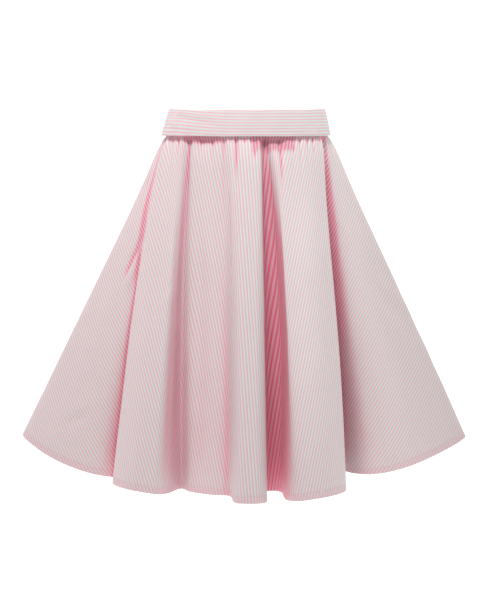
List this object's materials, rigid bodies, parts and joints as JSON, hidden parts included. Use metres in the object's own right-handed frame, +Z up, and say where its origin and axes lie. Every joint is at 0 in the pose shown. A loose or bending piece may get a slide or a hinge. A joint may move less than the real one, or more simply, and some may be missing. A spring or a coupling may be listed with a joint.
{
  "type": "gathered midi skirt",
  "caption": "Full midi skirt of striped cotton, gathered in deep flutes under a flat front waistband with an elasticated back, filled out and open at waist and hem.",
  "frame": {"origin": "centre of the waistband's top edge, where the skirt is held", "axes": "+Z up, the front of the skirt faces -Y, +X to the viewer's right"},
  "size_m": [0.837, 0.5788, 0.67],
  "materials": {
    "striped_cotton": "plain-woven cotton, fine pink and white stripes down the cloth, matte",
    "striped_cotton_back": "plain-woven cotton, fine pink and white stripes down the cloth, matte",
    "striped_cotton_band": "plain-woven cotton cut across, fine pink and white stripes round the waist, matte",
    "striped_cotton_elastic": "plain-woven cotton ruched over elastic, fine pink and white stripes round the waist, matte"
  },
  "bodies": {
    "root": {"skirt_front": "striped_cotton", "skirt_back": "striped_cotton_back", "waistband_front": "striped_cotton_band", "waistband_back": "striped_cotton_elastic"}
  },
  "joints": []
}
